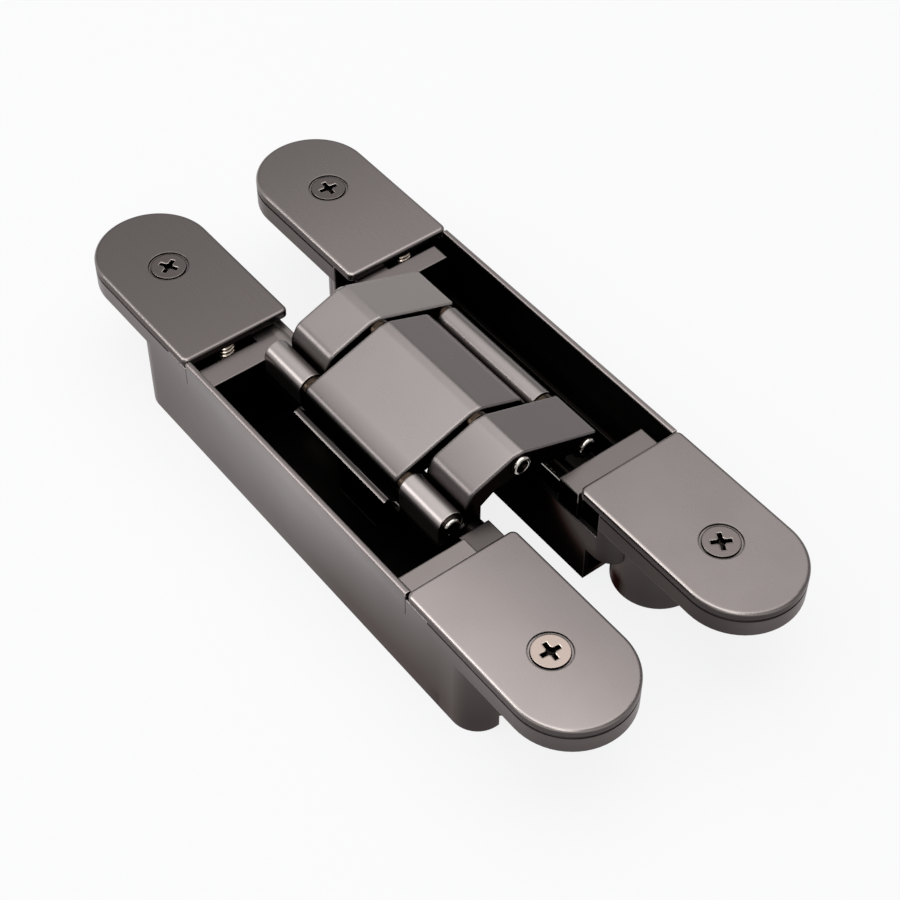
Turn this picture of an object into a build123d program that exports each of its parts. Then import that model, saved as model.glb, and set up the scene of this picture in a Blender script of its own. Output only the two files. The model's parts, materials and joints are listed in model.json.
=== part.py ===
"""Concealed door hinge, laid open flat at 180 degrees.

Two slim housings lie side by side along Y and rest on z = 0. Each holds a pivot carrier, two cover
plates and their screws. Between them a scissor of interleaved arms crosses at a centre pin. Each arm
is pinned in one carrier and, through a short guide link, in the other. The origin is midway between
the housings on the surface that they rest on. All lengths are in millimetres.
"""

import os

from build123d import *

# Bodies
overall_length = 160.0
body_width = 25.0
body_spacing = 40.6
body_depth = 24.0
side_wall = 1.3
side_wall_drop = 0.4
floor_thickness = 1.6
inner_wall_drop = 9.0
edge_round = 0.4

# Covers and flanges
cover_length = 43.6
cover_thickness = 2.0
cover_edge_round = 0.7
cover_corner_radius = 1.4
seam_chamfer = 0.25
flange_thickness = 4.2
cover_screw_from_end = 18.0

# Housing ends below the flange, each reach measured outward from the inner end of a cover
trough_reach = 6.0
deep_reach = 3.0
tunnel_reach = 10.1
end_boss_reach = 10.6
end_boss_radius = 9.2
tunnel_round = 4.5
rib_width = 6.3
rib_radius = 5.7
notch_drop = 14.9

# Screws
m4_radius = 2.0
cover_head_radius = 3.7
cover_sink_radius = 4.2
head_rim = 0.35
head_recess = 0.08
recess_depth = 1.3
recess_width = 1.0
recess_reach = 2.1
recess_core = 0.95
right_rear_turn = -5.0
right_front_turn = -30.0
left_rear_turn = 30.0
left_front_turn = -6.0
thread_chamfer = 0.4
screw_clearance = 0.05
screw_reach = 6.1
mounting_hole_radius = 2.6
mounting_sink_radius = 4.6
outer_hole_from_end = 9.0
inner_hole_reach = 15.6

# Pivots, measured outward from a body's inner face and down or up from the cover face
centre_pin_rise = 5.1
crossing_in = 8.55
crossing_drop = 0.7
arm_pivot_in = 3.8
arm_pivot_drop = 5.7
link_pivot_in = 7.3
link_pivot_drop = 11.0

# Arms
arm_end_gap = 2.5
middle_arm_share = 0.523
arm_gap = 1.4
ridge_rise = 7.9
ridge_left = 1.6
ridge_right = 0.9
ridge_round = 2.2
middle_end_round = 2.2
outer_end_round = 0.6
shoulder_round = 3.0
arm_end_past_pin = 2.65
arm_end_rise = 1.5
arm_end_bottom = 4.7
beam_thickness = 5.0
leg_shoulder = -0.3
shoulder_rise = 4.2
leg_outside = 1.3
leg_inside = 2.7
belly_inside = 5.6
belly_rise = 1.2
arm_eye_radius = 2.9
arm_edge = 0.35

# Guide links
barrel_radius = 2.9
link_eye_radius = 1.9
link_leg_outside = 2.75
web_inner_radius = 4.75
web_thickness = 1.2
web_start_angle = 205.0
web_join_angle = 236.0
web_end_angle = 262.0
web_overlap = 0.5

# Pins and washers
pin_radius = 2.0
crossing_pin_radius = 1.85
base_pin_radius = 1.25
pin_clearance = 0.03
pin_stand_out = 0.9
pin_end_round = 0.4
pin_dish_rim = 0.55
pin_dish_depth = 0.35
pin_depth = 6.2
washer_thickness = 1.1
washer_radius = 2.65
slot_clearance = 0.35
base_pin_play_x = 0.7
base_pin_play_z = 2.4
slot_wall = 0.9

# Carriers
shoulder_length = 5.6
rear_left_shoulder_length = 6.55
front_left_shoulder_length = 4.15
ledge_reach = 5.2
carrier_floor = 1.5
carrier_gap = 0.2
rail_thickness = 1.1
right_rail_inset = 3.1
rail_drop = 13.0
under_cover_drop = 2.3
front_left_drop = 1.0
rear_left_drop = 3.0
right_drop = 2.0
left_block_inset = 1.5
right_block_inset = 0.15
right_block_outer_inset = 4.3
front_step_drop = 2.0
front_step_width = 6.9
rear_pocket_inset = 1.2
rear_pocket_x = 16.6
left_lug_half_length = 6.0
right_lug_gap = 0.4
right_lug_thickness = 5.0
pad_gap = 0.4
lug_radius = 2.9
adjuster_offset = 2.0
adjuster_reach = 2.1
adjuster_length = 10.8
adjuster_socket_radius = 1.2

# Places that follow from the sizes above
half_length = overall_length / 2
half_width = body_width / 2
body_x = body_spacing / 2
flange_top = body_depth - cover_thickness
flange_bottom = flange_top - flange_thickness
cover_start = half_length - cover_length
trough_half_length = cover_start + trough_reach
deep_half_length = cover_start + deep_reach
tunnel_end = cover_start + tunnel_reach
end_boss_y = cover_start + end_boss_reach
end_reach = end_boss_y + end_boss_radius
inner_hole_y = cover_start + inner_hole_reach
outer_hole_y = half_length - outer_hole_from_end
notch_height = body_depth - notch_drop
inner_wall_height = body_depth - inner_wall_drop
wall_top = body_depth - side_wall_drop
inner_face_x = body_x - half_width
outer_face_x = body_x + half_width
cover_screw_y = half_length - cover_screw_from_end
head_top = body_depth - head_recess
centre_z = body_depth + centre_pin_rise
crossing_z = body_depth - crossing_drop
arm_pivot_z = body_depth - arm_pivot_drop
link_pivot_z = body_depth - link_pivot_drop
crossing_x = inner_face_x + crossing_in
arm_pivot_x = inner_face_x + arm_pivot_in
link_pivot_x = inner_face_x + link_pivot_in
arm_end_x = crossing_x + arm_end_past_pin
shoulder_y = cover_start - shoulder_length
outer_end = shoulder_y - arm_end_gap
middle_end = middle_arm_share * outer_end
outer_start = middle_end + arm_gap
outer_arm_length = outer_end - outer_start
carrier_half_length = cover_start + ledge_reach
pin_end = shoulder_y + pin_depth
left_block_outer_x = outer_face_x - side_wall - carrier_gap
left_block_inner_x = inner_face_x + left_block_inset
right_block_outer_x = outer_face_x - right_block_outer_inset
right_block_inner_x = inner_face_x + right_block_inset
rail_x = outer_face_x - right_rail_inset
adjuster_x = body_x + adjuster_offset
adjuster_y = cover_start + adjuster_reach
right_lug_start = outer_start + right_lug_gap
carrier_base = floor_thickness
carrier_floor_top = carrier_base + carrier_floor
shelf_z = notch_height + side_wall
shelf_clear_z = shelf_z + carrier_gap
shelf_y = deep_half_length - side_wall - carrier_gap
step_y = cover_start - carrier_gap
under_cover_z = body_depth - under_cover_drop
rail_top = body_depth - rail_drop
low_wall_x = inner_face_x + side_wall + carrier_gap
pocket_z = under_cover_z - adjuster_length / 2
eye_hole = pin_radius + pin_clearance
crossing_hole = crossing_pin_radius + pin_clearance
base_hole = base_pin_radius + pin_clearance
slot_half_width = base_pin_play_x / 2 + base_pin_radius + slot_clearance
slot_half_height = base_pin_play_z / 2 + base_pin_radius + slot_clearance
slot_x = link_pivot_x - base_pin_play_x / 2 + 0.05


def cover_plan(level, low_y, high_y):
    """The part of the right body's rounded plan that lies between two Y stations, at one level."""
    with BuildSketch(Plane.XY.offset(level)) as plan:
        with Locations((body_x, 0)):
            SlotOverall(overall_length, body_width, rotation=90)
        with Locations((body_x, (low_y + high_y) / 2)):
            Rectangle(body_width, high_y - low_y, mode=Mode.INTERSECT)
    return plan.sketch


def disc(end, x, z, radius):
    """A disc in the XZ plane at one Y station."""
    with BuildSketch(Plane.XZ.offset(-end)) as shape:
        with Locations((x, z)):
            Circle(radius)
    return shape.sketch


def ring(end, x, z, outer, inner):
    """A ring in the XZ plane at one Y station."""
    with BuildSketch(Plane.XZ.offset(-end)) as shape:
        with Locations((x, z)):
            Circle(outer)
            Circle(inner, mode=Mode.SUBTRACT)
    return shape.sketch


def arm_profile(end, sign, end_round):
    """The bent arm. With sign 1 its leg is at the left and its short end at the right."""
    fall = (arm_end_rise - ridge_rise) / (arm_end_x - ridge_right)
    belly_end_x = crossing_x - barrel_radius
    belly_end_rise = ridge_rise + fall * (belly_end_x - ridge_right) - beam_thickness
    with BuildSketch(Plane.XZ.offset(-end)) as shape:
        with BuildLine():
            Polyline(
                (-sign * ridge_left, body_depth + ridge_rise),
                (sign * ridge_right, body_depth + ridge_rise),
                (sign * arm_end_x, body_depth + arm_end_rise),
                (sign * arm_end_x, body_depth - arm_end_bottom + 1.5),
                (sign * (arm_end_x - 1.5), body_depth - arm_end_bottom),
                (sign * (crossing_x - 0.5), body_depth - arm_end_bottom),
                (sign * (belly_end_x + 0.8), body_depth - crossing_drop - barrel_radius + 0.4),
                (sign * belly_end_x, body_depth + belly_end_rise),
                (sign * barrel_radius, body_depth + ridge_rise - beam_thickness - 0.9),
                (-sign * (arm_pivot_x - belly_inside), body_depth + belly_rise),
                (-sign * (arm_pivot_x - leg_inside), body_depth - crossing_drop),
                (-sign * (arm_pivot_x - leg_inside), arm_pivot_z),
                (-sign * (arm_pivot_x + leg_outside), arm_pivot_z),
                (-sign * (arm_pivot_x + leg_outside), body_depth + belly_rise),
                (-sign * (arm_pivot_x + leg_shoulder), body_depth + shoulder_rise),
                close=True,
            )
        make_face()
        fillet(shape.vertices().group_by(Axis.Y)[-1], ridge_round)
        tip = Vector(sign * arm_end_x, body_depth + arm_end_rise)
        fillet(shape.vertices().sort_by_distance(tip)[0], end_round)
        knee = Vector(-sign * (arm_pivot_x + leg_shoulder), body_depth + shoulder_rise)
        fillet(shape.vertices().sort_by_distance(knee)[0], shoulder_round)
        hip = Vector(-sign * (arm_pivot_x + leg_outside), body_depth + belly_rise)
        fillet(shape.vertices().sort_by_distance(hip)[0], shoulder_round)
        with Locations((-sign * arm_pivot_x, arm_pivot_z)):
            Circle(arm_eye_radius)
    return shape.sketch


def link_profile(end, sign):
    """The leg of a guide link with its barrel and its eye. Sign -1 is the left link."""
    with BuildSketch(Plane.XZ.offset(-end)) as shape:
        with BuildLine():
            Polyline(
                (sign * (crossing_x + barrel_radius - 0.05), crossing_z),
                (sign * (crossing_x + link_leg_outside), crossing_z - 2 * barrel_radius),
                (sign * (link_pivot_x + link_eye_radius - 0.1), link_pivot_z),
                (sign * (link_pivot_x - link_eye_radius + 0.1), link_pivot_z),
                (sign * (link_pivot_x - 0.3), link_pivot_z + link_eye_radius),
                (sign * link_pivot_x, arm_pivot_z),
                (sign * (crossing_x - barrel_radius + 0.2), crossing_z - 0.8),
                close=True,
            )
        make_face()
        with Locations((sign * crossing_x, crossing_z)):
            Circle(barrel_radius)
        with Locations((sign * link_pivot_x, link_pivot_z)):
            Circle(link_eye_radius)
    return shape.sketch


def slot_shape(end, sign, wall):
    """The tall slot that the base pin of a guide link moves in, grown by a wall."""
    with BuildSketch(Plane.XZ.offset(-end)) as shape:
        with Locations((sign * slot_x, link_pivot_z)):
            RectangleRounded(
                2 * (slot_half_width + wall),
                2 * (slot_half_height + wall),
                base_pin_radius + slot_clearance + wall - 0.05,
            )
    return shape.sketch


# The right housing, and the left one as its mirror image
flange_rear = cover_plan(flange_bottom, cover_start, half_length)
flange_front = cover_plan(flange_bottom, -half_length, -cover_start)

with BuildPart() as right_housing:
    extrude(flange_rear, amount=flange_thickness)
    extrude(flange_front, amount=flange_thickness)
    with BuildSketch(Plane.XY):
        with Locations((body_x, 0)):
            Rectangle(body_width, 2 * deep_half_length)
        with Locations((body_x, end_boss_y), (body_x, -end_boss_y)):
            Circle(end_boss_radius)
    extrude(amount=flange_bottom)
    with BuildSketch(Plane.XY) as rib_plan:
        with Locations((outer_face_x - rib_width / 2, 0)):
            Rectangle(rib_width, 2 * end_reach)
        fillet(rib_plan.vertices().group_by(Axis.X)[-1], rib_radius)
    extrude(amount=flange_bottom)
    with BuildSketch(Plane.XY.offset(notch_height)) as tunnel_plan:
        with Locations((body_x, 0)):
            Rectangle(body_width, 2 * tunnel_end)
        fillet(tunnel_plan.vertices().group_by(Axis.X)[0], tunnel_round)
    extrude(amount=flange_bottom - notch_height)
    # Trough, deep between the bosses and stepped up onto a shelf at each end
    with BuildSketch(Plane.XY.offset(floor_thickness)):
        with Locations((body_x, 0)):
            Rectangle(body_width - 2 * side_wall, 2 * (deep_half_length - side_wall))
    extrude(amount=body_depth, mode=Mode.SUBTRACT)
    with BuildSketch(Plane.XY.offset(shelf_z)):
        with Locations((body_x, 0)):
            Rectangle(body_width - 2 * side_wall, 2 * trough_half_length)
    extrude(amount=body_depth, mode=Mode.SUBTRACT)
    # The inner side is open above its low wall
    with BuildSketch(Plane.XY.offset(inner_wall_height)):
        with Locations((inner_face_x, 0)):
            Rectangle(half_width, 2 * trough_half_length)
    extrude(amount=body_depth, mode=Mode.SUBTRACT)
    # The outer wall rises between the covers to just under their face
    with BuildSketch(Plane.XY.offset(flange_bottom)):
        with Locations((outer_face_x - side_wall / 2, 0)):
            Rectangle(side_wall, 2 * (cover_start - carrier_gap))
    extrude(amount=wall_top - flange_bottom)
    fillet(right_housing.edges().filter_by(Axis.Y).group_by(Axis.Z)[-1], edge_round)
    # Holes under the covers
    with Locations(
        (body_x, cover_screw_y, flange_top),
        (body_x, -cover_screw_y, flange_top),
    ):
        CounterSinkHole(m4_radius + screw_clearance, m4_radius + thread_chamfer)
    with Locations(
        (body_x, outer_hole_y, flange_top),
        (body_x, -outer_hole_y, flange_top),
        (body_x, inner_hole_y, flange_top),
        (body_x, -inner_hole_y, flange_top),
    ):
        CounterSinkHole(mounting_hole_radius, mounting_sink_radius)

left_housing = mirror(right_housing.part, Plane.YZ)


def make_cover(side):
    """One right cover plate. Side 1 is the rear end and -1 the front end."""
    low_y = cover_start if side > 0 else -half_length
    high_y = half_length if side > 0 else -cover_start
    plan = cover_plan(flange_top, low_y, high_y)
    with BuildPart() as cover:
        extrude(plan, amount=cover_thickness)
        corners = cover.edges().filter_by(Axis.Z).sort_by(lambda edge: abs(edge.center().Y))
        fillet(corners[:2], cover_corner_radius)
        fillet(cover.faces().sort_by(Axis.Z)[-1].edges(), cover_edge_round)
        chamfer(cover.faces().sort_by(Axis.Z)[0].edges(), seam_chamfer)
        with BuildSketch(Plane.XY.offset(body_depth)):
            with Locations((body_x, side * cover_screw_y)):
                Circle(cover_sink_radius)
        extrude(amount=-(head_rim + head_recess), mode=Mode.SUBTRACT)
        with Locations((body_x, side * cover_screw_y, head_top - head_rim)):
            CounterSinkHole(m4_radius + screw_clearance, cover_head_radius, cover_thickness)
    return cover.part


def make_cover_screw(side, turn):
    """A countersunk screw, flush in its cover and threaded into the flange, its cross turned."""
    cone_height = cover_head_radius - m4_radius
    with BuildPart() as screw:
        with BuildSketch(Plane.XZ.offset(-side * cover_screw_y)):
            with BuildLine():
                Polyline(
                    (body_x, head_top),
                    (body_x + cover_head_radius, head_top),
                    (body_x + cover_head_radius, head_top - head_rim),
                    (body_x + m4_radius, head_top - head_rim - cone_height),
                    (body_x + m4_radius, head_top - screw_reach + thread_chamfer),
                    (body_x + m4_radius - thread_chamfer, head_top - screw_reach),
                    (body_x, head_top - screw_reach),
                    close=True,
                )
            make_face()
        revolve(axis=Axis((body_x, side * cover_screw_y, 0), (0, 0, 1)))
        with BuildSketch(Plane.XY.offset(head_top)):
            with Locations((body_x, side * cover_screw_y)):
                Rectangle(2 * recess_reach, recess_width, rotation=turn)
                Rectangle(recess_width, 2 * recess_reach, rotation=turn)
                Circle(recess_core)
        extrude(amount=-recess_depth, taper=12, mode=Mode.SUBTRACT)
    return screw.part


right_rear_cover = make_cover(1)
right_front_cover = make_cover(-1)
left_rear_cover = mirror(right_rear_cover, Plane.YZ)
left_front_cover = mirror(right_front_cover, Plane.YZ)
right_rear_screw = make_cover_screw(1, right_rear_turn)
right_front_screw = make_cover_screw(-1, right_front_turn)
left_rear_screw = mirror(make_cover_screw(1, -left_rear_turn), Plane.YZ)
left_front_screw = mirror(make_cover_screw(-1, -left_front_turn), Plane.YZ)


def make_arm(sign, start, end, end_round):
    """A bent arm between two Y stations, with its three bores."""
    profile = arm_profile(end, sign, end_round)
    eye = disc(end, -sign * arm_pivot_x, arm_pivot_z, eye_hole)
    middle = disc(end, 0, centre_z, eye_hole)
    crossing = disc(end, sign * crossing_x, crossing_z, crossing_hole)
    with BuildPart() as arm:
        extrude(profile, amount=end - start)
        chamfer(arm.faces().filter_by(Axis.Y).edges(), arm_edge)
        extrude(eye, amount=end - start, mode=Mode.SUBTRACT)
        extrude(middle, amount=end - start, mode=Mode.SUBTRACT)
        extrude(crossing, amount=end - start, mode=Mode.SUBTRACT)
    return arm.part


middle_arm = make_arm(-1, -middle_end, middle_end, middle_end_round)
rear_outer_arm = make_arm(1, outer_start, outer_end, outer_end_round)
front_outer_arm = make_arm(1, -outer_end, -outer_start, outer_end_round)

def web_shape(end, start_angle, end_angle):
    """A piece of the concave web round the left link pin, between two angles."""
    sweep = end_angle - start_angle
    outer_radius = web_inner_radius + web_thickness
    with BuildSketch(Plane.XZ.offset(-end)) as shape:
        with BuildLine():
            inner = CenterArc((-crossing_x, crossing_z), web_inner_radius, start_angle, sweep)
            outer = CenterArc((-crossing_x, crossing_z), outer_radius, start_angle, sweep)
            Line(inner @ 0, outer @ 0)
            Line(inner @ 1, outer @ 1)
        make_face()
    return shape.sketch


# Left guide link: two legs outside the middle arm joined by a concave web
leg_rear = link_profile(outer_end, -1)
leg_front = link_profile(-outer_start, -1)
left_barrel_hole = disc(outer_end, -crossing_x, crossing_z, crossing_hole)
left_eye_hole = disc(outer_end, -link_pivot_x, link_pivot_z, base_hole)
web_reach = outer_start + web_overlap
upper_web = web_shape(middle_end, web_start_angle, web_join_angle)
lower_web = web_shape(web_reach, web_join_angle - 1, web_end_angle)

with BuildPart() as left_link:
    extrude(leg_rear, amount=outer_arm_length)
    extrude(leg_front, amount=outer_arm_length)
    extrude(upper_web, amount=2 * middle_end)
    extrude(lower_web, amount=2 * web_reach)
    extrude(left_barrel_hole, amount=2 * outer_end, mode=Mode.SUBTRACT)
    extrude(left_eye_hole, amount=2 * outer_end, mode=Mode.SUBTRACT)

# Right guide link: one wide leg between the outer arms
leg_middle = link_profile(middle_end, 1)
right_barrel_hole = disc(middle_end, crossing_x, crossing_z, crossing_hole)
right_eye_hole = disc(middle_end, link_pivot_x, link_pivot_z, base_hole)

with BuildPart() as right_link:
    extrude(leg_middle, amount=2 * middle_end)
    extrude(right_barrel_hole, amount=2 * middle_end, mode=Mode.SUBTRACT)
    extrude(right_eye_hole, amount=2 * middle_end, mode=Mode.SUBTRACT)


def make_pin(x, z, radius, reach):
    """A pin along Y that reaches as far to the front as to the rear, with rounded ends."""
    shape = disc(reach, x, z, radius)
    with BuildPart() as pin:
        extrude(shape, amount=2 * reach)
        fillet(pin.edges().filter_by(GeomType.CIRCLE), pin_end_round)
        with Locations(Plane((x, -reach, z), z_dir=(0, -1, 0)), Plane((x, reach, z), z_dir=(0, 1, 0))):
            Cone(
                pin_dish_rim / 2,
                radius - pin_dish_rim,
                pin_dish_depth,
                align=(Align.CENTER, Align.CENTER, Align.MAX),
                mode=Mode.SUBTRACT,
            )
    return pin.part


pin_reach = outer_end + pin_stand_out
lug_reach = right_lug_start + right_lug_thickness
centre_pin = make_pin(0, centre_z, pin_radius, pin_reach)
left_link_pin = make_pin(-crossing_x, crossing_z, crossing_pin_radius, pin_reach)
right_link_pin = make_pin(crossing_x, crossing_z, crossing_pin_radius, pin_reach)
left_arm_pin = make_pin(-arm_pivot_x, arm_pivot_z, pin_radius, pin_end)
right_arm_pin = make_pin(arm_pivot_x, arm_pivot_z, pin_radius, pin_end)
left_base_pin = make_pin(-link_pivot_x, link_pivot_z, base_pin_radius, pin_end)
right_base_pin = make_pin(link_pivot_x, link_pivot_z, base_pin_radius, lug_reach)


def make_washers(x, z, pin):
    """A pair of washers in the gaps between the middle arm and the outer arms."""
    end = middle_end + (arm_gap + washer_thickness) / 2
    rear = ring(end, x, z, washer_radius, pin + pin_clearance)
    front = ring(-end + washer_thickness, x, z, washer_radius, pin + pin_clearance)
    with BuildPart() as washers:
        extrude(rear, amount=washer_thickness)
        extrude(front, amount=washer_thickness)
    return washers.part


centre_washers = make_washers(0, centre_z, pin_radius)
left_link_washers = make_washers(-crossing_x, crossing_z, crossing_pin_radius)
right_link_washers = make_washers(crossing_x, crossing_z, crossing_pin_radius)


def block(sign, side, across, along, up):
    """A carrier block from its x, y and z ranges, mirrored in x by sign and in y by side."""
    middle = (
        sign * (across[0] + across[1]) / 2,
        side * (along[0] + along[1]) / 2,
        (up[0] + up[1]) / 2,
    )
    size = (across[1] - across[0], along[1] - along[0], up[1] - up[0])
    return Location(middle) * Box(*size)


def carrier_end(sign, side, across, drop, length):
    """One end of a carrier: a shoulder before the cover and a lower part on the shelf under it."""
    high = body_depth - drop
    start = cover_start - length
    lower = (max(across[0], low_wall_x), across[1])
    over_wall = inner_wall_height + carrier_gap
    foot = block(sign, side, lower, (start, shelf_y), (carrier_base, over_wall))
    shoulder = block(sign, side, across, (start, step_y), (over_wall, high))
    top = min(high, under_cover_z)
    ledge = block(sign, side, lower, (start, carrier_half_length), (shelf_clear_z, top))
    return foot + shoulder + ledge


def adjuster_pocket(sign, side, low_x, low_y):
    """The recess around an adjusting screw, open upward, outward and to the end."""
    along = (low_y, carrier_half_length)
    return block(sign, side, (low_x, outer_face_x), along, (pocket_z, body_depth))


def adjuster_hole(sign, along):
    """The threaded hole of an adjusting screw."""
    depth = under_cover_z - adjuster_length - 0.1
    across = Location((sign * adjuster_x, along, (pocket_z + depth) / 2))
    return across * Cylinder(m4_radius + screw_clearance, pocket_z - depth)


def carrier_cuts(sign):
    """Everything that is cut from the two ends of a carrier beside its pin bores."""
    open_pocket = adjuster_pocket(sign, 1, rear_pocket_x, cover_start - rear_pocket_inset)
    hidden_pocket = adjuster_pocket(sign, -1, rear_pocket_x, step_y + screw_clearance)
    holes = adjuster_hole(sign, adjuster_y) + adjuster_hole(sign, -adjuster_y)
    return open_pocket + hidden_pocket + holes


def lug(sign, start, end):
    """A lug that rises from the carrier floor to the arm pin and round the base slot."""
    outer_x = slot_x + slot_half_width + slot_wall
    with BuildSketch(Plane.XZ.offset(-end)) as shape:
        with BuildLine():
            Polyline(
                (sign * low_wall_x, carrier_base),
                (sign * low_wall_x, arm_pivot_z),
                (sign * (arm_pivot_x + lug_radius - 0.4), arm_pivot_z + 0.8),
                (sign * (outer_x - 1.2), link_pivot_z + slot_half_height),
                (sign * outer_x, link_pivot_z),
                (sign * outer_x, carrier_base),
                close=True,
            )
        make_face()
    eye = disc(end, sign * arm_pivot_x, arm_pivot_z, lug_radius)
    slot = slot_shape(end, sign, slot_wall)
    amount = end - start
    foot = extrude(shape.sketch, amount=amount)
    return foot + extrude(eye, amount=amount) + extrude(slot, amount=amount)


# The left carrier
left_across = (left_block_inner_x, left_block_outer_x)
left_floor = block(-1, 1, left_across, (-shelf_y, shelf_y), (carrier_base, carrier_floor_top))
left_rail_across = (left_block_outer_x - rail_thickness, left_block_outer_x)
left_rail = block(-1, 1, left_rail_across, (-shoulder_y, shoulder_y), (carrier_base, rail_top))
left_rear_end = carrier_end(-1, 1, left_across, rear_left_drop, rear_left_shoulder_length)
step_x = left_block_inner_x + front_step_width
wide_across = (step_x, left_block_outer_x)
step_across = (left_block_inner_x, step_x)
left_wide_end = carrier_end(-1, -1, wide_across, front_left_drop, front_left_shoulder_length)
left_step_end = carrier_end(-1, -1, step_across, front_step_drop, shoulder_length)
left_lug = lug(-1, -left_lug_half_length, left_lug_half_length)
nose_plan = disc(carrier_half_length, -arm_pivot_x, arm_pivot_z, lug_radius)
nose = extrude(nose_plan, amount=carrier_half_length - outer_end - pad_gap)
left_bore_plan = disc(carrier_half_length, -arm_pivot_x, arm_pivot_z, eye_hole)
left_bore = extrude(left_bore_plan, amount=2 * carrier_half_length)
left_slot = extrude(slot_shape(carrier_half_length, -1, 0), amount=2 * carrier_half_length)
left_cuts = carrier_cuts(-1)

with BuildPart() as left_carrier:
    add(left_floor)
    add(left_rail)
    add(left_rear_end)
    add(left_wide_end)
    add(left_step_end)
    add(left_lug)
    add(nose)
    add(mirror(nose, Plane.XZ))
    add(left_cuts, mode=Mode.SUBTRACT)
    add(left_bore, mode=Mode.SUBTRACT)
    add(left_slot, mode=Mode.SUBTRACT)

# The right carrier
right_across = (right_block_inner_x, right_block_outer_x)
right_floor_across = (low_wall_x, rail_x)
right_floor = block(1, 1, right_floor_across, (-shelf_y, shelf_y), (carrier_base, carrier_floor_top))
right_rail_across = (rail_x - rail_thickness, rail_x)
right_rail = block(1, 1, right_rail_across, (-shoulder_y, shoulder_y), (carrier_base, rail_top))
right_rear_end = carrier_end(1, 1, right_across, right_drop, shoulder_length)
right_front_end = carrier_end(1, -1, right_across, right_drop, shoulder_length)
right_cuts = carrier_cuts(1)
rear_lug = lug(1, right_lug_start, lug_reach)
front_lug = lug(1, -lug_reach, -right_lug_start)
right_bore_plan = disc(carrier_half_length, arm_pivot_x, arm_pivot_z, eye_hole)
right_bore = extrude(right_bore_plan, amount=2 * carrier_half_length)
right_slot = extrude(slot_shape(lug_reach, 1, 0), amount=2 * lug_reach)

with BuildPart() as right_carrier:
    add(right_floor)
    add(right_rail)
    add(right_rear_end)
    add(right_front_end)
    add(rear_lug)
    add(front_lug)
    add(right_cuts, mode=Mode.SUBTRACT)
    add(right_bore, mode=Mode.SUBTRACT)
    add(right_slot, mode=Mode.SUBTRACT)


def make_adjusters(sign):
    """The two adjusting screws of one carrier, each with a hexagon socket."""
    places = [(sign * adjuster_x, adjuster_y), (sign * adjuster_x, -adjuster_y)]
    with BuildPart() as screws:
        with BuildSketch(Plane.XY.offset(under_cover_z)):
            with Locations(places):
                Circle(m4_radius)
        extrude(amount=-adjuster_length)
        chamfer(screws.edges().filter_by(GeomType.CIRCLE), thread_chamfer)
        with BuildSketch(Plane.XY.offset(under_cover_z)):
            with Locations(places):
                RegularPolygon(adjuster_socket_radius, 6)
        extrude(amount=-adjuster_length / 4, mode=Mode.SUBTRACT)
    return screws.part


left_adjusters = make_adjusters(-1)
right_adjusters = make_adjusters(1)

os.makedirs("parts", exist_ok=True)
nodes = {
    "left_housing": left_housing,
    "right_housing": right_housing.part,
    "left_front_cover": left_front_cover,
    "left_rear_cover": left_rear_cover,
    "right_front_cover": right_front_cover,
    "right_rear_cover": right_rear_cover,
    "left_front_screw": left_front_screw,
    "left_rear_screw": left_rear_screw,
    "right_front_screw": right_front_screw,
    "right_rear_screw": right_rear_screw,
    "left_carrier": left_carrier.part,
    "right_carrier": right_carrier.part,
    "left_adjusters": left_adjusters,
    "right_adjusters": right_adjusters,
    "middle_arm": middle_arm,
    "front_outer_arm": front_outer_arm,
    "rear_outer_arm": rear_outer_arm,
    "left_link": left_link.part,
    "right_link": right_link.part,
    "centre_pin": centre_pin,
    "left_link_pin": left_link_pin,
    "right_link_pin": right_link_pin,
    "left_arm_pin": left_arm_pin,
    "right_arm_pin": right_arm_pin,
    "left_base_pin": left_base_pin,
    "right_base_pin": right_base_pin,
    "centre_washers": centre_washers,
    "left_link_washers": left_link_washers,
    "right_link_washers": right_link_washers,
}
for name, part in nodes.items():
    part.label = name
    export_step(part, f"parts/{name}.step")
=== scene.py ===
"""Concealed door hinge in satin gun-metal, laid open flat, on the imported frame."""

import json
import math
from types import SimpleNamespace

import bmesh
import bpy
from mathutils import Matrix, Vector


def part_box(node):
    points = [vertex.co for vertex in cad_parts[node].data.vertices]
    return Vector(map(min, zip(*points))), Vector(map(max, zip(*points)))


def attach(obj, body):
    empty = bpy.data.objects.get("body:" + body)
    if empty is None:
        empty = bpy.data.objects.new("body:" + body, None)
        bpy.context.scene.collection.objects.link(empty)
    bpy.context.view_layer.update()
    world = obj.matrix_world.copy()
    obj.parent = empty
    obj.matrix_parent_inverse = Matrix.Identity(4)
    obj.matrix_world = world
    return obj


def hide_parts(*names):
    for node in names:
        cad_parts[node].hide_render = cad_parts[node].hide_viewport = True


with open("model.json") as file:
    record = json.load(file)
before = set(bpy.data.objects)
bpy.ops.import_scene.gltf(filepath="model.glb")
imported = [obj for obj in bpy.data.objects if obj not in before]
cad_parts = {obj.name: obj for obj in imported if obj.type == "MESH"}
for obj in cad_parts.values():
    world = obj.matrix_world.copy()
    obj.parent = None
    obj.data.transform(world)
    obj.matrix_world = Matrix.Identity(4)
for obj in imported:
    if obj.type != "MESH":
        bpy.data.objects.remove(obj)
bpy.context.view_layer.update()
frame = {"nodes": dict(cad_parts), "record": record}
scene = bpy.context.scene
scene.view_settings.view_transform = "Standard"

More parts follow.
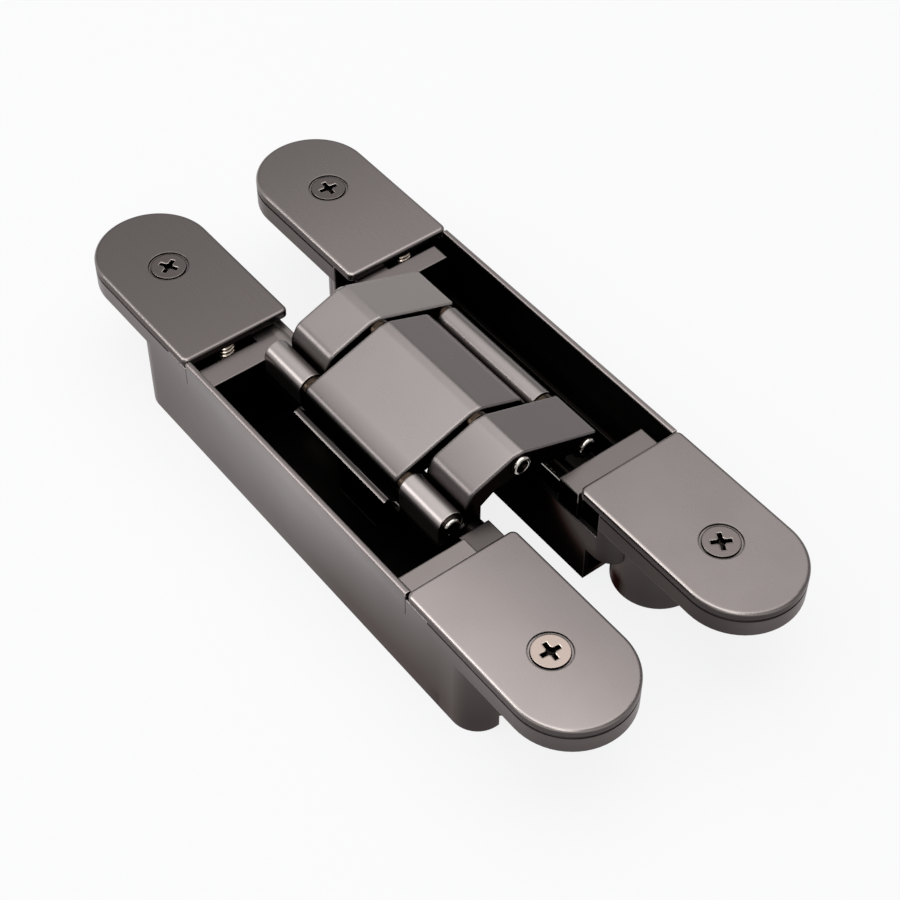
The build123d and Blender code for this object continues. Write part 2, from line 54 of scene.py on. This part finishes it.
# Places on the hinge in metres; x and y are sizes, because both sides and both ends are alike
COVER_X = 0.0203
COVER_SCREW_Y = 0.062
ADJUSTER_X, ADJUSTER_Y = 0.0223, 0.0385
TROUGH_END_Y = 0.0425
TROUGH_HALF_WIDTH = 0.01135
OUTER_WALL_X = 0.0321
PIN_X, PIN_Z = 0.01635, 0.0233
CENTRE_PIN_Z = 0.0291
PINS_SPLIT_X = 0.008
OUTER_ARMS_Y = 0.0155
BARREL_RADIUS = 0.0044

# Threads of the adjusting screws, in metres
THREAD_DEPTH = 0.00042
THREAD_PITCH = 0.001
SCREW_CHAMFER = 0.0004
SOCKET_RADIUS = 0.0012

# Their shape: the slope of a tooth and its sharpness, the share of the CAD radius, and the steps
TOOTH_SLOPE = 2.6
TOOTH_SHARPNESS = 0.15
RADIUS_SHARE = 0.9995
RING_STEPS = 40
RINGS_PER_PITCH = 10

# Floor, in metres: its reach to each side, and how far it lies below the hinge
FLOOR_REACH = 3.0
FLOOR_DROP = 0.0002

# Directions of the brushed grain: long hairs, short hairs, none
ALONG_Y = (1.0, 0.01, 1.0)
ROUND_Y = (1.0, 0.35, 1.0)
EVEN = (1.0, 1.0, 1.0)

# Colours of the metals and of their brighter edges, part rubbed wear and part painted highlight
WALL = (0.252, 0.222, 0.216)
WALL_EDGE = (0.95, 0.86, 0.83)
CARRIER = (0.145, 0.127, 0.122)
FACE = (0.194, 0.171, 0.166)
ARM = (0.33, 0.298, 0.289)
LINK = (0.25, 0.226, 0.218)
EDGE = (0.72, 0.65, 0.61)
COPPERY = (0.24, 0.195, 0.172)
COPPERY_EDGE = (0.8, 0.68, 0.58)
DARK_NICKEL = (0.105, 0.09, 0.086)
DARK_NICKEL_EDGE = (0.6, 0.54, 0.5)
COPPER = (0.72, 0.6, 0.5)
COPPER_EDGE = (0.95, 0.85, 0.75)
POLISHED = (0.5, 0.47, 0.43)
POLISHED_EDGE = (0.9, 0.85, 0.78)
BRONZE = (0.03, 0.021, 0.015)
BRONZE_EDGE = (0.11, 0.078, 0.056)

# What a mask of 1 turns a metal into: the colour of full painted shade, and its tint at a glancing
# look
PAINTED_SHADE_COLOUR = (0.013, 0.0108, 0.0102)
NO_TINT = (1.0, 1.0, 1.0)
DULL_TINT = (0.76, 0.7, 0.69)
BLACK_TINT = (0.07, 0.062, 0.06)

# Camera at the photo's angle
CAMERA_LENS = 80.074
CAMERA_PLACE = (-0.162309, -0.214475, 0.307475)
CAMERA_TURN = (
    (0.790633, 0.453085, -0.411842),
    (-0.612272, 0.590225, -0.526077),
    (0.004722, 0.668093, 0.744063),
)
camera_data = bpy.data.cameras.new("camera")
camera_data.lens = CAMERA_LENS
camera_data.sensor_width = 36.0
camera = bpy.data.objects.new("camera", camera_data)
scene.collection.objects.link(camera)
camera.matrix_world = Matrix.Translation(CAMERA_PLACE) @ Matrix(CAMERA_TURN).to_4x4()
scene.camera = camera


# Node helpers
class Nodes:
    """A short way to add shader nodes to one material or world."""

    def __init__(self, tree):
        self.tree = tree
        self.tree.nodes.clear()

    def add(self, kind, **values):
        node = self.tree.nodes.new(kind)
        for name, value in values.items():
            setattr(node, name, value)
        return node

    def link(self, output, socket):
        self.tree.links.new(output, socket)

    def math(self, operation, first, second=0.0, clamp=False):
        node = self.add("ShaderNodeMath", operation=operation, use_clamp=clamp)
        for index, value in enumerate((first, second)):
            if isinstance(value, (int, float)):
                node.inputs[index].default_value = value
            else:
                self.link(value, node.inputs[index])
        return node.outputs[0]

    def noise(self, vector, scale, detail, rough):
        node = self.add("ShaderNodeTexNoise")
        node.inputs["Scale"].default_value = scale
        node.inputs["Detail"].default_value = detail
        node.inputs["Roughness"].default_value = rough
        self.link(vector, node.inputs["Vector"])
        return node.outputs["Fac"]

    def stretch(self, vector, scale):
        node = self.add("ShaderNodeMapping")
        node.inputs["Scale"].default_value = scale
        self.link(vector, node.inputs["Vector"])
        return node.outputs[0]

    def range(self, value, low, high, to_low, to_high):
        """The value's way from low to high as a way from to_low to to_high, held at both ends."""
        node = self.add("ShaderNodeMapRange")
        for name, number in (
            ("From Min", low),
            ("From Max", high),
            ("To Min", to_low),
            ("To Max", to_high),
        ):
            node.inputs[name].default_value = number
        self.link(value, node.inputs["Value"])
        return node.outputs[0]

    def mix(self, factor, first, second):
        """A mix of two colours, each a tuple or a socket."""
        node = self.add("ShaderNodeMix", data_type="RGBA")
        self.link(factor, node.inputs["Factor"])
        for socket, value in ((node.inputs[6], first), (node.inputs[7], second)):
            if isinstance(value, tuple):
                socket.default_value = value
            else:
                self.link(value, socket)
        return node.outputs[2]

    def bevel(self, radius):
        """The normal, rounded over the edges."""
        node = self.add("ShaderNodeBevel", samples=6)
        node.inputs["Radius"].default_value = radius
        return node.outputs[0]

    def split(self, vector):
        node = self.add("ShaderNodeSeparateXYZ")
        self.link(vector, node.inputs[0])
        return node.outputs


def split_place(n, place):
    """A place as x, y and z, with the sizes of x and y as wide and long."""
    x, y, z = n.split(place)
    return SimpleNamespace(x=x, y=y, z=z, wide=n.math("ABSOLUTE", x), long=n.math("ABSOLUTE", y))


def split_normal(n, normal):
    """A normal as x, y and z."""
    x, y, z = n.split(normal)
    return SimpleNamespace(x=x, y=y, z=z)


def pick(n, choice, first, second):
    """The first value where the choice is 1 and the second where it is 0."""
    other = n.math("SUBTRACT", 1.0, choice)
    return n.math("ADD", n.math("MULTIPLY", choice, first), n.math("MULTIPLY", other, second))


def both(n, first, second):
    """Two masks laid over each other."""
    clear = n.math("MULTIPLY", n.math("SUBTRACT", 1.0, first), n.math("SUBTRACT", 1.0, second))
    return n.math("SUBTRACT", 1.0, clear)


def reach_from(n, first, second, first_middle, second_middle):
    """The distance of a place from an axis, by its two coordinates across that axis."""
    across = n.math("SUBTRACT", first, first_middle)
    up = n.math("SUBTRACT", second, second_middle)
    squares = n.math("ADD", n.math("MULTIPLY", across, across), n.math("MULTIPLY", up, up))
    return n.math("SQRT", squares)


def scaled(colour, factor=1.0):
    """A colour times a factor, with an alpha of 1."""
    return tuple(part * factor for part in colour) + (1.0,)


# Metals
def metal(
    name,
    base,
    edge,
    rough,
    grain=ALONG_Y,
    fine=2600.0,
    cast=0.0,
    soft=0.0004,
    dark=None,
    lines=None,
    rim=None,
):
    """Satin metal: brushed grain, faint clouds, and brighter, smoother edges, part rubbed wear and
    part painted highlight.

    Its dark function gives the share of painted shade, and its lines function where painted
    bright edge lines show. Its rim function gives the share of painted highlight on a wide
    rounded rim, and takes the place of those lines. Each takes the nodes, the place and the normal.
    """
    material = bpy.data.materials.new(name)
    material.use_nodes = True
    n = Nodes(material.node_tree)
    shader = n.add("ShaderNodeBsdfPrincipled")
    n.link(shader.outputs[0], n.add("ShaderNodeOutputMaterial").inputs[0])
    shader.inputs["Metallic"].default_value = 1.0
    coordinates = n.add("ShaderNodeTexCoord")
    place = coordinates.outputs["Object"]
    hair = n.noise(n.stretch(place, grain), fine, 3.0, 0.55)
    cloud = n.noise(place, 70.0, 3.0, 0.5)
    speck = n.noise(place, 2600.0, 2.0, 0.6)

    # Where the rounded normal leaves the face normal, there is an edge
    meet = n.add("ShaderNodeVectorMath", operation="DOT_PRODUCT")
    n.link(n.bevel(0.0003), meet.inputs[0])
    n.link(n.add("ShaderNodeNewGeometry").outputs["Normal"], meet.inputs[1])
    # Brighter edges, part rubbed wear and part painted highlight
    wear_and_highlight = n.range(meet.outputs["Value"], 0.99, 0.84, 0.0, 1.0)
    wear_and_highlight = n.math("MULTIPLY", wear_and_highlight, n.range(cloud, 0.35, 0.6, 0.7, 1.0), clamp=True)

    shade = n.mix(n.range(hair, 0.3, 0.7, 0.0, 1.0), scaled(base, 0.995), scaled(base, 1.005))
    shade = n.mix(n.range(cloud, 0.3, 0.7, 0.0, 0.3), shade, scaled(base, 0.86))
    if dark:
        at = split_place(n, place)
        facing = split_normal(n, coordinates.outputs["Normal"])
        mask = dark(n, at, facing)
        # Painted shade: the mask darkens the colour towards full shade
        shade = n.mix(mask, shade, scaled(PAINTED_SHADE_COLOUR))
        if rim:
            wear_and_highlight = rim(n, at, facing)
        elif lines:
            wear_and_highlight = n.math("MULTIPLY", wear_and_highlight, lines(n, at, facing))
        else:
            wear_and_highlight = n.math("MULTIPLY", wear_and_highlight, n.range(mask, 0.5, 0.9, 1.0, 0.0))
        # Faces in painted shade stay dull at a glancing look too, and those painted black stay black
        dull = n.mix(n.range(mask, 0.3, 0.9, 0.0, 1.0), scaled(NO_TINT), scaled(DULL_TINT))
        black = n.math(
            "MULTIPLY", n.range(mask, 0.9, 0.96, 0.0, 1.0), n.math("SUBTRACT", 1.0, wear_and_highlight)
        )
        n.link(n.mix(black, dull, scaled(BLACK_TINT)), shader.inputs["Specular Tint"])
    n.link(n.mix(wear_and_highlight, shade, scaled(edge)), shader.inputs["Base Color"])

    wave = n.math(
        "ADD", n.range(hair, 0.3, 0.7, -0.008, 0.008), n.range(cloud, 0.3, 0.7, -0.02, 0.02)
    )
    smoother = n.math("MULTIPLY", wear_and_highlight, rough * 0.25)
    level = n.math("SUBTRACT", n.math("ADD", wave, rough), smoother)
    n.link(level, shader.inputs["Roughness"])

    bump = n.add("ShaderNodeBump")
    bump.inputs["Strength"].default_value = 0.007
    bump.inputs["Distance"].default_value = 0.00002 + 0.00004 * cast
    height = n.math(
        "ADD", n.math("MULTIPLY", hair, 1.0 - cast), n.math("MULTIPLY", speck, 0.15 + cast)
    )
    n.link(height, bump.inputs["Height"])
    n.link(n.bevel(soft), bump.inputs["Normal"])
    n.link(bump.outputs[0], shader.inputs["Normal"])
    return material


def carrier_mask(n, at, facing):
    """Painted shade: 1 on a carrier below the level of its shoulders, a share of it on the right
    front carrier, and a share of it on the stepped block.
    """
    right = n.math("GREATER_THAN", at.x, 0.0)
    front = n.math("LESS_THAN", at.y, 0.0)
    level = n.math("MULTIPLY", n.math("MAXIMUM", right, front), 0.001)
    low = n.math("LESS_THAN", at.z, n.math("ADD", level, 0.0207))
    step = n.math("MULTIPLY", n.math("LESS_THAN", at.wide, 0.0163), n.math("SUBTRACT", front, right))
    shade_tone = n.math("MULTIPLY", n.math("MULTIPLY", right, front), 0.24)
    return n.math("MAXIMUM", n.math("MAXIMUM", low, shade_tone), n.math("MULTIPLY", step, 0.6))


def carrier_lines(n, at, facing):
    """Painted bright edges, part wear and part highlight, only on the shoulders, outside the covers.
    """
    outside = n.math(
        "MULTIPLY", n.range(at.long, 0.0358, 0.0366, 0.0, 1.0), n.math("LESS_THAN", at.long, 0.0434)
    )
    return n.math("MULTIPLY", outside, n.range(at.z, 0.0192, 0.02, 0.0, 1.0))


def cover_mask(n, at, facing):
    """Painted shade over parts of each cover, more on its upright edges, and black in the seats of
    its screws.
    """
    rear = n.math("GREATER_THAN", at.y, 0.0)
    front = n.math("SUBTRACT", 1.0, rear)
    left_shade = n.math(
        "MAXIMUM", n.range(at.x, -0.0315, -0.0095, 0.0, 0.38), n.math("MULTIPLY", rear, 0.4)
    )
    right_shade = n.math(
        "ADD", n.range(at.y, 0.045, 0.075, 0.12, 0.27), n.math("MULTIPLY", front, 0.19)
    )
    shade_tone = pick(n, n.math("LESS_THAN", at.x, 0.0), left_shade, right_shade)
    edge = n.range(facing.z, 0.35, 0.05, 0.0, 0.68)
    seat = n.math("LESS_THAN", reach_from(n, at.wide, at.long, COVER_X, COVER_SCREW_Y), 0.0043)
    seat = n.math("MULTIPLY", seat, n.math("LESS_THAN", facing.z, 0.95))
    return n.math("MAXIMUM", both(n, shade_tone, edge), n.math("MULTIPLY", seat, 0.98))


def cover_rim_highlight(n, at, facing):
    """Painted highlight on the rounded rims of the covers, where they look left."""
    rounded = n.math(
        "MULTIPLY", n.range(facing.z, 0.985, 0.9, 0.0, 1.0), n.range(facing.z, 0.3, 0.6, 0.0, 1.0)
    )
    return n.math("MULTIPLY", rounded, n.range(facing.x, 0.05, -0.35, 0.0, 0.25))


def thread_mask(n, at, facing):
    """Painted shade between the threads of an adjusting screw and in its socket."""
    reach = reach_from(n, at.wide, at.long, ADJUSTER_X, ADJUSTER_Y)
    return n.range(reach, 0.00188, 0.0017, 0.0, 0.9)


def trough_mask(n, at, along):
    """Painted shade in the troughs of the housings, a little lighter towards the front of their
    outer walls.
    """
    off_middle = n.math("ABSOLUTE", n.math("SUBTRACT", at.wide, COVER_X))
    across = n.math("LESS_THAN", off_middle, TROUGH_HALF_WIDTH)
    above = n.math("GREATER_THAN", at.z, 0.0012)
    trough = n.math("MULTIPLY", n.math("MULTIPLY", across, along), above)
    lift = n.math(
        "MULTIPLY", n.range(at.wide, 0.022, 0.031, 0.0, 0.3), n.range(at.y, 0.02, -0.015, 0.0, 1.0)
    )
    return n.math("MULTIPLY", trough, n.math("SUBTRACT", 1.0, n.math("ADD", lift, 0.02)))


def outer_side_mask(n, at, facing):
    """Painted shade on the upright outer sides, darker downwards, most to the front, and towards
    both ends.
    """
    depth = n.math("POWER", n.range(at.z, 0.0203, 0.0035, 0.0, 1.0), 0.69)
    down = n.math("MULTIPLY", depth, n.range(at.y, 0.0409, -0.0172, 0.36, 0.8))
    down = n.math("MULTIPLY", down, n.range(at.long, 0.046, 0.05, 1.0, 0.76))
    off_middle = n.math("ABSOLUTE", n.math("ADD", at.y, 0.0016))
    away = n.range(off_middle, 0.0031, 0.0502, 0.0, 0.517)
    away = both(n, away, n.range(at.y, -0.01, -0.045, 0.0, 0.153))
    end = n.range(n.math("ABSOLUTE", facing.y), 0.15, 0.5, 0.0, 0.15)
    upright = n.range(n.math("ABSOLUTE", facing.z), 0.35, 0.75, 1.0, 0.0)
    return n.math("MULTIPLY", upright, both(n, both(n, down, away), end))


def housing_mask(n, at, facing):
    """Painted shade: black troughs and seams, dark inner sides, and outer sides darker low down and
    to the ends.
    """
    along = n.math("LESS_THAN", at.long, TROUGH_END_Y)
    # Painted shade on the sides that face across the gap between the two bodies
    inner = pick(
        n,
        n.math("GREATER_THAN", at.y, 0.0),
        n.range(at.y, 0.03, 0.044, 0.97, 0.3),
        n.range(at.y, -0.024, -0.04, 0.97, 0.6),
    )
    inner = n.math("MULTIPLY", inner, n.range(at.wide, 0.0079, 0.014, 1.0, 0.0))
    seam = n.math(
        "MULTIPLY", n.math("GREATER_THAN", at.long, 0.0428), n.math("GREATER_THAN", at.z, 0.0216)
    )
    # Painted shade between the two bright edges of the outer wall's top
    off_wall = n.math("ABSOLUTE", n.math("SUBTRACT", at.wide, OUTER_WALL_X))
    top = n.math("MULTIPLY", n.math("LESS_THAN", off_wall, 0.0003), along)
    top = n.math("MULTIPLY", top, n.math("GREATER_THAN", at.z, 0.0232))
    seam = n.math("MAXIMUM", n.math("MULTIPLY", seam, 0.85), n.math("MULTIPLY", top, 0.5))
    dim = both(n, both(n, inner, outer_side_mask(n, at, facing)), seam)
    return n.math("MAXIMUM", trough_mask(n, at, along), dim)


def housing_lines(n, at, facing):
    """Painted bright edges, part wear and part highlight, on the outer wall between the covers."""
    top = n.math(
        "MULTIPLY", n.math("GREATER_THAN", at.z, 0.0228), n.math("LESS_THAN", at.long, TROUGH_END_Y)
    )
    return n.math("MULTIPLY", top, n.math("GREATER_THAN", at.wide, 0.0312))


def arm_mask(n, at, facing):
    """Painted shade: black faces along the pins, ends that fall away into the dark, faces that look
    down, and a share of shade on each arm by its slope and place.
    """
    end = n.math("MULTIPLY", n.math("GREATER_THAN", n.math("ABSOLUTE", facing.y), 0.8), 0.96)
    under = n.range(facing.z, 0.9, 0.0, 0.0, 0.84)
    rear = n.math("GREATER_THAN", at.y, OUTER_ARMS_Y)
    front = n.math("LESS_THAN", at.y, -OUTER_ARMS_Y)
    lift = n.math("MULTIPLY", rear, n.range(facing.x, 0.0, 0.2, 0.0, 0.42))
    drop = n.math("MULTIPLY", front, n.range(at.x, -0.0125, 0.001, 0.24, -0.02))
    shade_tone = n.math("ADD", n.math("SUBTRACT", 0.42, lift), drop)
    # Painted shade: the left ends darken towards their round
    longer = n.math("MULTIPLY", n.math("MAXIMUM", rear, front), 0.0045)
    fade = n.range(n.math("SUBTRACT", at.x, longer), -0.0145, -0.0188, 0.0, 0.5)
    return n.math("MAXIMUM", end, both(n, both(n, shade_tone, fade), under))


def arm_lines(n, at, facing):
    """Painted bright edges, part wear and part highlight, where the arms look up, and hardly any on
    their ends.
    """
    return n.range(facing.z, 0.75, 0.9, 0.05, 0.8)


def link_mask(n, at, facing):
    """Painted shade on the web and legs of a guide link, but for the outer corner of the web, and on
    the underside and ends of its barrel, with the right link a share darker.
    """
    reach = reach_from(n, at.wide, at.z, PIN_X, PIN_Z)
    web = n.math("GREATER_THAN", reach, BARREL_RADIUS)
    line = n.math(
        "MULTIPLY", n.range(reach, 0.0054, 0.0058, 0.0, 1.0), n.range(at.z, 0.0204, 0.0207, 0.0, 1.0)
    )
    hollow = n.math("LESS_THAN", reach, 0.0049)
    inside = pick(n, hollow, n.range(at.y, 0.008, -0.012, 0.93, 0.62), 0.93)
    web = n.math("MULTIPLY", n.math("MULTIPLY", web, inside), n.math("SUBTRACT", 1.0, line))
    end = n.math("MULTIPLY", n.math("GREATER_THAN", n.math("ABSOLUTE", facing.y), 0.8), 0.88)
    under = n.range(facing.z, 0.1, -0.5, 0.0, 0.93)
    round_part = n.math("LESS_THAN", reach, BARREL_RADIUS)
    barrel = n.math("MULTIPLY", round_part, n.math("MAXIMUM", end, under))
    right_shade = n.math("MULTIPLY", n.math("GREATER_THAN", at.x, 0.0), 0.25)
    return n.math("MAXIMUM", web, both(n, barrel, right_shade))


def pin_mask(n, at, facing):
    """Painted shade: 1 in the dished end of a pin."""
    outer = n.math("GREATER_THAN", at.wide, PINS_SPLIT_X)
    middle_x = n.math("MULTIPLY", outer, PIN_X)
    middle_z = n.math("SUBTRACT", CENTRE_PIN_Z, n.math("MULTIPLY", outer, CENTRE_PIN_Z - PIN_Z))
    dish = n.math("LESS_THAN", reach_from(n, at.wide, at.z, middle_x, middle_z), 0.00128)
    return n.math("MULTIPLY", dish, n.math("GREATER_THAN", at.long, 0.028))


def recess_mask(n, at, facing):
    """Painted shade: 1 in the cross recess of a cover screw and on its rim."""
    reach = reach_from(n, at.wide, at.long, COVER_X, COVER_SCREW_Y)
    rim = n.math("GREATER_THAN", reach, 0.00362)
    return n.math("MAXIMUM", n.math("LESS_THAN", at.z, 0.02385), rim)


materials = {
    "housing": metal(
        "gunmetal_cast", WALL, WALL_EDGE, 0.30, cast=0.3, dark=housing_mask, lines=housing_lines
    ),
    "carrier": metal(
        "dark_carrier", CARRIER, EDGE, 0.32, cast=0.4, dark=carrier_mask, lines=carrier_lines
    ),
    "cover": metal("gunmetal_cover", FACE, EDGE, 0.27, dark=cover_mask, rim=cover_rim_highlight),
    "arm": metal("gunmetal_arm", ARM, EDGE, 0.26, soft=0.0008, dark=arm_mask, lines=arm_lines),
    "link": metal("gunmetal_link", LINK, EDGE, 0.29, ROUND_Y, dark=link_mask),
    "light_screw": metal(
        "coppery_nickel", COPPERY, COPPERY_EDGE, 0.24, EVEN, 3000.0, dark=recess_mask
    ),
    "dark_screw": metal(
        "dark_nickel", DARK_NICKEL, DARK_NICKEL_EDGE, 0.24, EVEN, 3000.0, dark=recess_mask
    ),
    "adjuster": metal(
        "copper_screw", COPPER, COPPER_EDGE, 0.18, EVEN, 3000.0, soft=0.0001, dark=thread_mask
    ),
    "pin": metal("polished_pin", POLISHED, POLISHED_EDGE, 0.12, EVEN, 4000.0, dark=pin_mask),
    "washer": metal("bronze_washer", BRONZE, BRONZE_EDGE, 0.2, EVEN, 4000.0),
}
for row in frame["record"]["subparts"]:
    part = frame["nodes"][row["node"]]
    part.data.materials.clear()
    part.data.materials.append(materials[row["material_slot"]])
    for face in part.data.polygons:
        face.material_index = 0


# Adjusting screws
def thread_reach(turn, down, length, radius):
    """How far a screw reaches from its axis, at a share of a turn and a depth below its top."""
    phase = (down / THREAD_PITCH + turn) % 1.0
    tooth = min(1.0, max(0.0, abs(phase - 0.5) * TOOTH_SLOPE - TOOTH_SHARPNESS))
    reach = radius - THREAD_DEPTH * (1.0 - tooth)
    return min(reach, radius - SCREW_CHAMFER + min(down, length - down))


def socket_reach(turn):
    """How far the hexagon socket reaches from the axis, at a share of a turn."""
    flat = (2 * math.pi * turn + math.pi / 6) % (math.pi / 3) - math.pi / 6
    return SOCKET_RADIUS * math.cos(math.pi / 6) / math.cos(flat)


def ring(mesh, middle, reaches):
    """A level ring of vertices around a middle."""
    x, y, z = middle
    corners = []
    for step, reach in enumerate(reaches):
        angle = 2 * math.pi * step / RING_STEPS
        point = (x + reach * math.cos(angle), y + reach * math.sin(angle), z)
        corners.append(mesh.verts.new(point))
    return corners


def threaded_pair(name, x, y, top, length, radius):
    """Two screws at y and -y with a real helical thread, chamfered ends and a hexagon socket."""
    rows = int(length / THREAD_PITCH * RINGS_PER_PITCH) + 1
    turns = [step / RING_STEPS for step in range(RING_STEPS)]
    mesh = bmesh.new()
    for middle_y in (y, -y):
        # From the socket's floor up to its rim, then down the thread
        levels = [
            ring(mesh, (x, middle_y, top - down), [socket_reach(turn) for turn in turns])
            for down in (length / 4, 0.0)
        ]
        for row in range(rows + 1):
            down = length * row / rows
            reaches = [thread_reach(turn, down, length, radius) for turn in turns]
            levels.append(ring(mesh, (x, middle_y, top - down), reaches))
        for upper, lower in zip(levels, levels[1:]):
            for step in range(RING_STEPS):
                after = (step + 1) % RING_STEPS
                mesh.faces.new((upper[step], lower[step], lower[after], upper[after]))
        mesh.faces.new(levels[0])
        mesh.faces.new(levels[-1][::-1])
    bmesh.ops.recalc_face_normals(mesh, faces=mesh.faces)
    data = bpy.data.meshes.new(name)
    mesh.to_mesh(data)
    mesh.free()
    data.materials.append(materials["adjuster"])
    piece = bpy.data.objects.new(name, data)
    scene.collection.objects.link(piece)
    return piece


for side in ("left", "right"):
    low, high = (Vector(corner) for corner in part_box(side + "_adjusters"))
    screw_radius = (high.x - low.x) / 2
    screws = threaded_pair(
        side + "_threads",
        x=(low.x + high.x) / 2,
        y=(high.y - low.y) / 2 - screw_radius,
        top=high.z,
        length=high.z - low.z,
        radius=screw_radius * RADIUS_SHARE,
    )
    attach(screws, side + "_side")
    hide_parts(side + "_adjusters")


# Floor, world and lamps
def seen_share(n):
    """1 where the camera, a reflection or a transmission sees it, and 0 where it only lights."""
    path = n.add("ShaderNodeLightPath")
    seen = n.math("MAXIMUM", path.outputs["Is Camera Ray"], path.outputs["Is Glossy Ray"])
    return n.math("MAXIMUM", seen, path.outputs["Is Transmission Ray"])


def blend(n, share, first, second):
    """A mix of two shaders."""
    node = n.add("ShaderNodeMixShader")
    n.link(share, node.inputs[0])
    n.link(first.outputs[0], node.inputs[1])
    n.link(second.outputs[0], node.inputs[2])
    return node.outputs[0]


def floor_material():
    """Pale matt floor that the camera sees nearly white, with the object's soft shadow on it."""
    material = bpy.data.materials.new("pale_floor")
    material.use_nodes = True
    n = Nodes(material.node_tree)
    matt = n.add("ShaderNodeBsdfPrincipled")
    matt.inputs["Base Color"].default_value = (0.93, 0.93, 0.93, 1.0)
    matt.inputs["Roughness"].default_value = 0.9
    matt.inputs["Specular IOR Level"].default_value = 0.1
    # Seen by the camera or in the metal, the floor has a share of plain pale light
    glow = n.add("ShaderNodeEmission")
    glow.inputs["Color"].default_value = (0.925, 0.925, 0.93, 1.0)
    glow.inputs["Strength"].default_value = 1.0
    share = n.math("MULTIPLY", seen_share(n), 0.91)
    n.link(blend(n, share, matt, glow), n.add("ShaderNodeOutputMaterial").inputs[0])
    return material


def studio_world():
    """Plain light from all sides, seen as a pale sweep that is paler towards the horizon."""
    world = bpy.data.worlds.new("world")
    world.use_nodes = True
    n = Nodes(world.node_tree)
    plain_light = n.add("ShaderNodeBackground")
    plain_light.inputs["Color"].default_value = (1.0, 1.0, 1.0, 1.0)
    plain_light.inputs["Strength"].default_value = 0.4
    seen_light = n.add("ShaderNodeBackground")
    seen_light.inputs["Color"].default_value = (0.95, 0.95, 0.955, 1.0)
    height = n.split(n.add("ShaderNodeTexCoord").outputs["Generated"])[2]
    n.link(n.range(height, 0.02, 0.3, 0.96, 0.66), seen_light.inputs["Strength"])
    light = blend(n, seen_share(n), plain_light, seen_light)
    n.link(light, n.add("ShaderNodeOutputWorld").inputs[0])
    return world


def softbox(name, place, aim, width, height, radiance):
    """A rectangular lamp at place, facing aim, as bright as radiance times a white card."""
    data = bpy.data.lights.new(name, "AREA")
    data.shape = "RECTANGLE"
    data.size = width
    data.size_y = height
    data.energy = 4.0 * radiance * width * height
    lamp = bpy.data.objects.new(name, data)
    lamp.location = place
    direction = Vector(aim) - Vector(place)
    lamp.rotation_euler = direction.to_track_quat("-Z", "Y").to_euler()
    scene.collection.objects.link(lamp)


floor_mesh = bpy.data.meshes.new("floor")
corners = [(x * FLOOR_REACH, y * FLOOR_REACH, 0) for x, y in ((-1, -1), (1, -1), (1, 1), (-1, 1))]
floor_mesh.from_pydata(corners, [], [(0, 1, 2, 3)])
floor = bpy.data.objects.new("floor", floor_mesh)
floor_mesh.materials.append(floor_material())
floor.location.z = -FLOOR_DROP
scene.collection.objects.link(floor)

scene.world = studio_world()

# Three panels overhead in a row, dimmer to the rear, and two at the left for the rims
HINGE = (0.0, 0.0, 0.0)
softbox("near_box", (-0.05, 0.0, 0.73), (-0.05, 0.0, 0.0), 1.3, 0.7, 1.9)
softbox("middle_box", (-0.05, 0.475, 0.73), (-0.05, 0.475, 0.0), 1.3, 0.25, 1.2)
softbox("left_box", (-0.78, 0.5, 0.5), HINGE, 0.45, 0.35, 4.2)
softbox("front_box", (-0.5, -0.55, 0.55), HINGE, 0.35, 0.3, 2.6)
softbox("far_box", (-0.05, 0.725, 0.73), (-0.05, 0.725, 0.0), 1.3, 0.25, 0.3)
